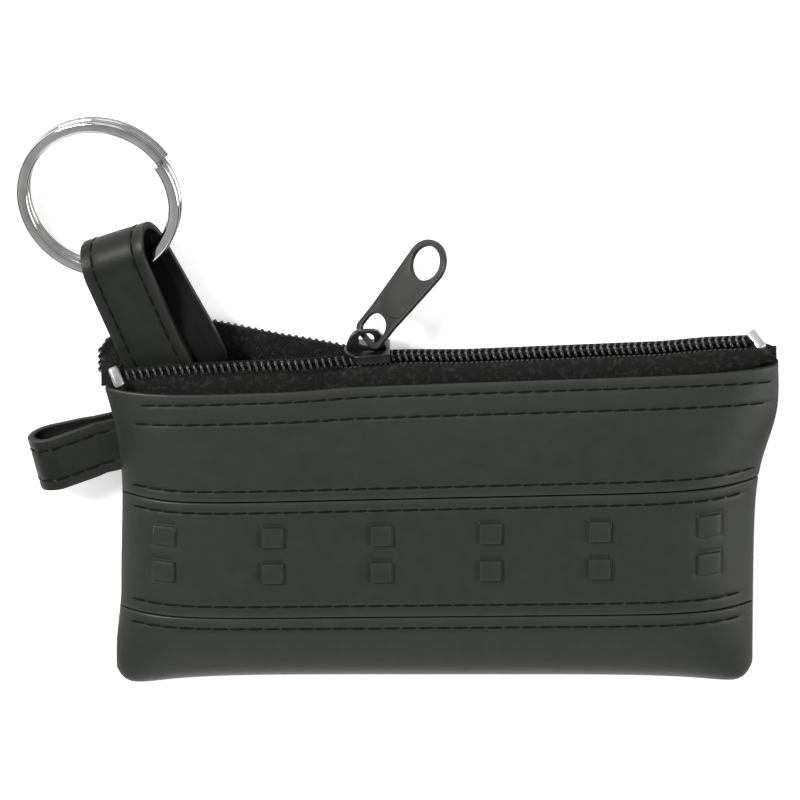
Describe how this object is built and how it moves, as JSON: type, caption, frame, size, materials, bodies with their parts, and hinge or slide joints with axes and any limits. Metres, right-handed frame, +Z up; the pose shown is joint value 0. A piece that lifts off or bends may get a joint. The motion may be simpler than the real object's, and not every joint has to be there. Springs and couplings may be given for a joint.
{
  "type": "zipped key case",
  "caption": "Flat zipped leather key case with a quilted-look band of raised squares, a sliding zip with pull tab, a key strap carrying a split ring, and a side hanging loop.",
  "frame": {"origin": "middle of the flat back, on the surface that the case lies on", "axes": "+Z up out of the front face, +Y from the bottom fold towards the zip, +X to the right along the zip"},
  "size_m": [0.1352, 0.1094, 0.0128],
  "materials": {
    "case_leather": "semi-matte smooth",
    "strap_leather": "semi-matte smooth",
    "lining_cloth": "matt woven",
    "zip_tape": "matt woven",
    "zip_coil": "satin",
    "zip_cord": "matt twisted",
    "bright_stop": "bright pressed",
    "slider_black": "satin black",
    "pull_black": "satin gunmetal",
    "ring_chrome": "polished nickel plate"
  },
  "bodies": {
    "pouch": {"front_upper_panel": "case_leather", "front_band": "case_leather", "wrap_panel": "case_leather", "lining": "lining_cloth", "zip_tape_front": "zip_tape", "zip_tape_back": "zip_tape", "zip_coil_front": "zip_coil", "zip_coil_back": "zip_coil", "zip_cord_front": "zip_cord", "zip_cord_back": "zip_cord", "top_stop_front": "bright_stop", "top_stop_back": "bright_stop", "bottom_stop": "bright_stop", "strap_tail": "strap_leather"},
    "slider": {"slider_body": "slider_black", "slider_bridge": "slider_black"},
    "pull": {"pull_tab": "pull_black"},
    "strap": {"strap_loop": "strap_leather"},
    "ring": {"split_ring": "ring_chrome"},
    "loop": {"side_loop": "strap_leather"}
  },
  "joints": [
    {"name": "zip_slide", "type": "slide", "parent": "pouch", "child": "slider", "axis": [0.999, 0.044, 0], "range_m": [-0.019, 0.0628], "deforming": ["zip_tape_front", "zip_tape_back", "zip_coil_front", "zip_coil_back", "zip_cord_front", "zip_cord_back"]},
    {"name": "pull_lift", "type": "hinge", "parent": "slider", "child": "pull", "pos_m": [-0.01255, 0.03515, 0.005], "axis": [0.5442, -0.3801, 0.7479], "range_deg": [-4, 75]},
    {"name": "strap_lift", "type": "hinge", "parent": "pouch", "child": "strap", "pos_m": [-0.04779, 0.03639, 0.00771], "axis": [0.8897, 0.3974, 0.2248], "range_deg": [0, 80]},
    {"name": "ring_swing", "type": "hinge", "parent": "strap", "child": "ring", "pos_m": [-0.05401, 0.05085, 0.00676], "axis": [0.8897, 0.3974, 0.2248], "range_deg": [-25, 110]},
    {"name": "loop_flap", "type": "hinge", "parent": "pouch", "child": "loop", "pos_m": [-0.05988, 0.01318, 0.004], "axis": [-0.2419, 0.9703, 0], "range_deg": [-15, 75]}
  ]
}
